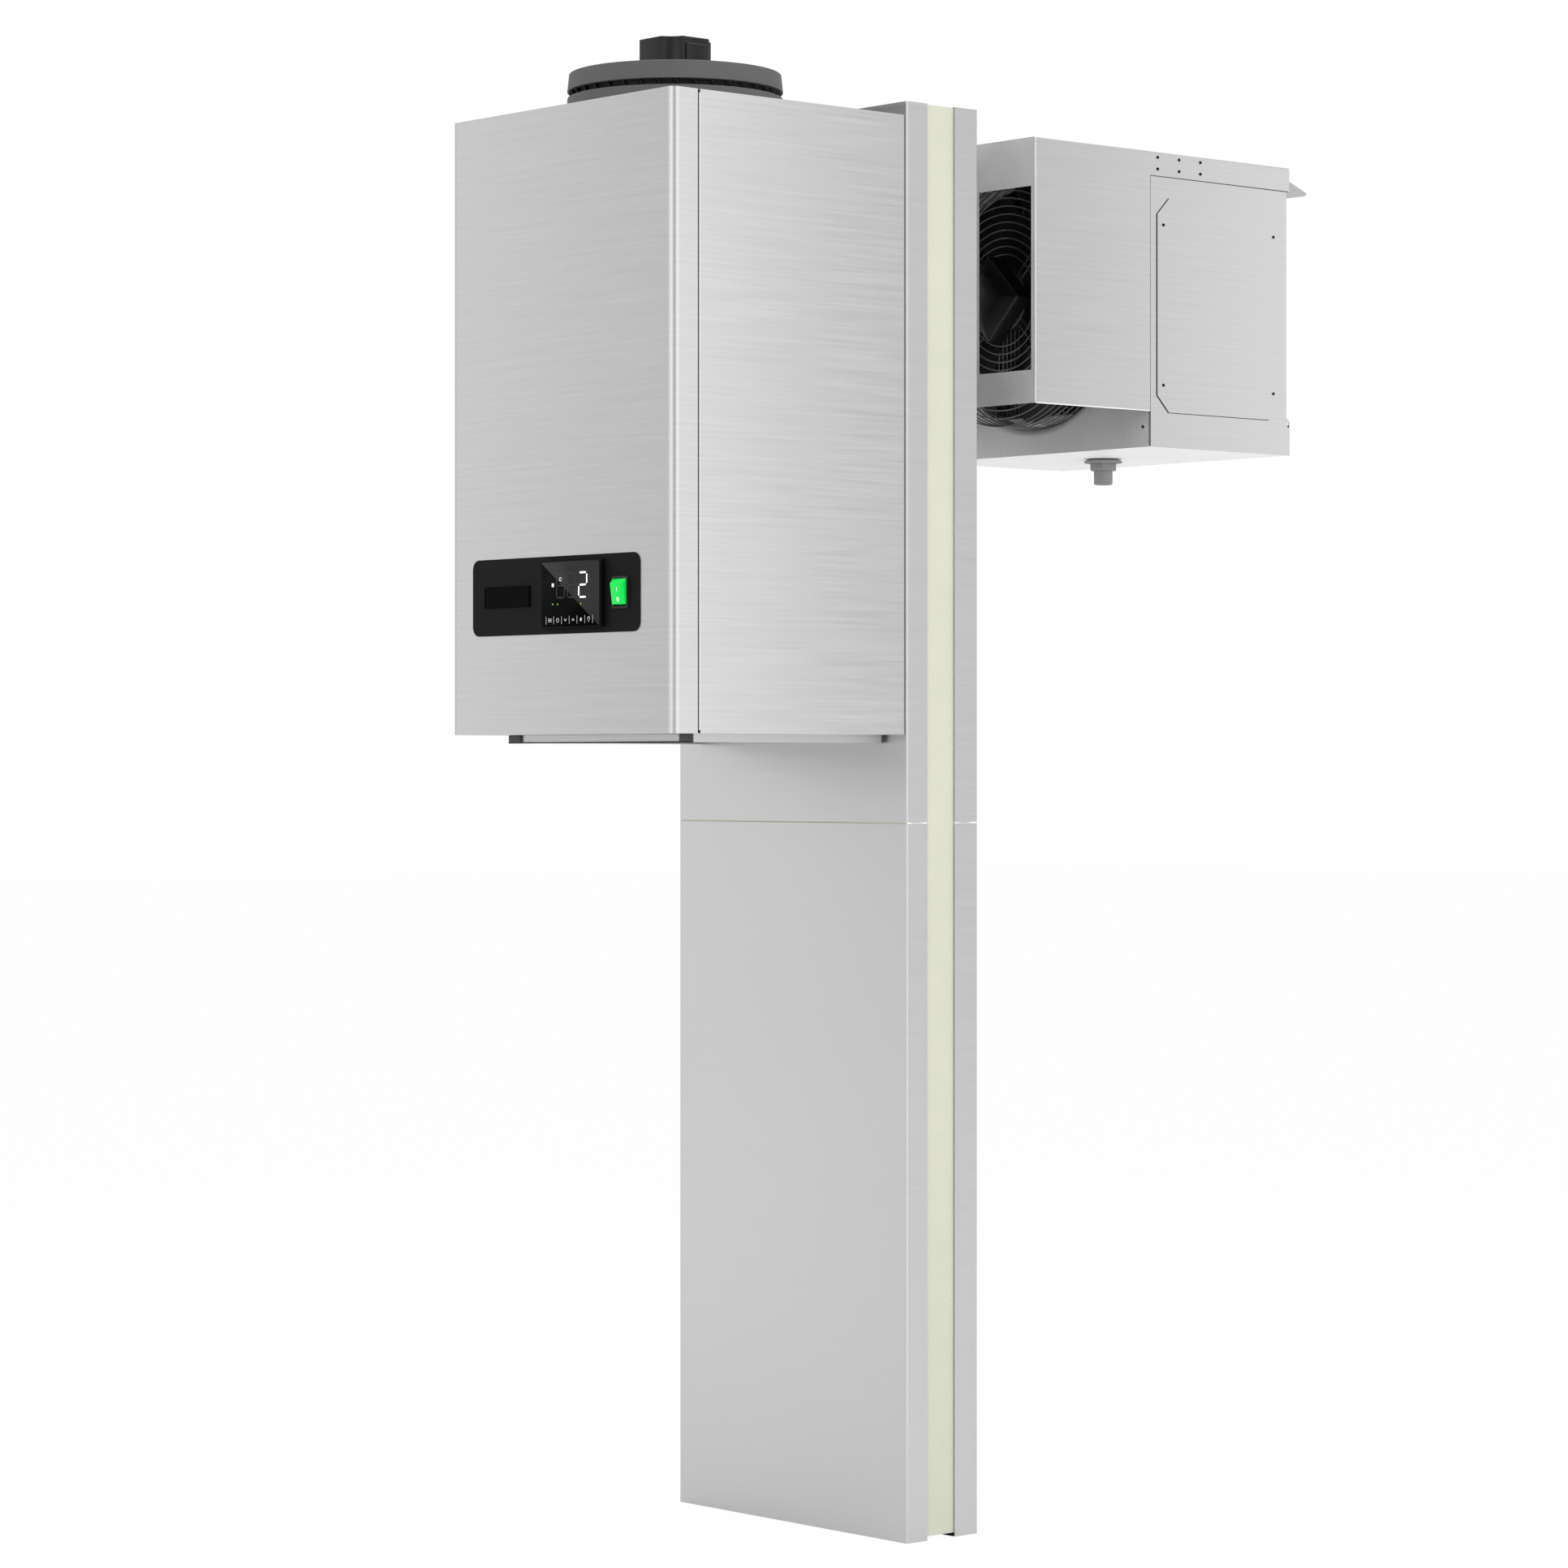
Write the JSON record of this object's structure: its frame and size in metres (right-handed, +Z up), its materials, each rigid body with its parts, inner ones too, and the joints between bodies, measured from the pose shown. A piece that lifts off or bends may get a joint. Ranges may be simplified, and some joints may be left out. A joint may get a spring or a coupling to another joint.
{
  "type": "monoblock refrigeration unit",
  "caption": "Monoblock refrigeration unit through an insulated wall panel: outer housing with roof fan and controls, inner evaporator with guarded fan, hood and drip tray.",
  "frame": {"origin": "middle of the foot of the wall panel, at half the panel's thickness", "axes": "+Z up; +Y from the outside of the wall to the cold side; +X along the wall, to the right seen from the outside"},
  "size_m": [0.4555, 1.1215, 1.858],
  "materials": {
    "panel_steel": "finely brushed",
    "foam": "matt cream foam",
    "brushed_steel": "brushed lengthwise",
    "galvanised_steel": "satin grey",
    "tray_steel": "satin white",
    "filter_wire": "satin",
    "grey_plastic": "matt",
    "black_wire": "satin black",
    "motor_black": "fine textured",
    "fan_black": "matt",
    "control_black": "fine textured",
    "controller_black": "matt",
    "display_glass": "glossy",
    "rocker_green": "glossy",
    "black_plastic": "matt",
    "white_plastic": "matt",
    "black_paint": "semi-gloss",
    "rubber": "matt",
    "copper": "drawn",
    "fin_aluminium": "plain",
    "screw_black": "black oxide"
  },
  "bodies": {
    "unit": {"outer_skin_lower": "panel_steel", "outer_skin_upper": "panel_steel", "inner_skin_lower": "panel_steel", "inner_skin_upper": "panel_steel", "foam_core": "foam", "neck_casing": "brushed_steel", "neck_foam": "foam", "wall_gasket": "rubber", "front_cover": "brushed_steel", "side_panel_left": "brushed_steel", "side_panel_right": "brushed_steel", "top_plate": "brushed_steel", "rear_plate": "brushed_steel", "base_plate": "brushed_steel", "inlet_rails": "grey_plastic", "housing_screws": "screw_black", "fan_collar": "grey_plastic", "fan_ring": "grey_plastic", "condenser_fan_guard": "black_wire", "condenser_fan_motor": "motor_black", "control_plate": "control_black", "blank_badge": "control_black", "controller_housing": "controller_black", "controller_glass": "display_glass", "switch_frame": "controller_black", "cable_gland": "black_plastic", "electrical_box": "galvanised_steel", "terminal_block": "white_plastic", "compressor_shelf": "galvanised_steel", "compressor_shell": "black_paint", "compressor_feet": "black_paint", "rubber_mounts": "rubber", "liquid_receiver": "black_paint", "filter_drier": "copper", "refrigerant_pipes": "copper", "condenser_fins": "fin_aluminium", "condenser_tubes": "copper", "condenser_end_plates": "galvanised_steel", "evaporator_hood": "brushed_steel", "hood_back_plate": "galvanised_steel", "fan_plate": "galvanised_steel", "evaporator_fan_guard": "black_wire", "evaporator_fan_motor": "motor_black", "evaporator_fins": "fin_aluminium", "evaporator_tubes": "copper", "evaporator_end_plates": "galvanised_steel", "coil_side_panel_left": "brushed_steel", "coil_side_panel_right": "brushed_steel", "access_covers": "brushed_steel", "air_deflector": "brushed_steel", "outlet_grille": "brushed_steel", "evaporator_screws": "screw_black"},
    "roof_fan": {"condenser_impeller": "fan_black"},
    "cold_fan": {"evaporator_impeller": "fan_black"},
    "rocker": {"power_rocker": "rocker_green"},
    "air_filter": {"filter_frame": "brushed_steel", "filter_mesh": "filter_wire"},
    "tray": {"drip_tray": "tray_steel", "drain_fitting": "grey_plastic", "tray_pivots": "screw_black"}
  },
  "joints": [
    {"name": "roof_fan_spin", "type": "hinge", "parent": "unit", "child": "roof_fan", "pos_m": [0, -0.24975, 1.8], "axis": [0, 0, 1], "continuous": true},
    {"name": "cold_fan_spin", "type": "hinge", "parent": "unit", "child": "cold_fan", "pos_m": [0, 0.36, 1.574], "axis": [0, 1, 0], "continuous": true},
    {"name": "rocker_tilt", "type": "hinge", "parent": "unit", "child": "rocker", "pos_m": [0.1208, -0.4342, 1.166], "axis": [-1, 0, 0], "range_deg": [0, 20]},
    {"name": "filter_slide", "type": "slide", "parent": "unit", "child": "air_filter", "axis": [0, -1, 0], "range_m": [0, 0.25]},
    {"name": "tray_swing", "type": "hinge", "parent": "unit", "child": "tray", "pos_m": [0, 0.6356, 1.411], "axis": [1, 0, 0], "range_deg": [0, 60]}
  ]
}
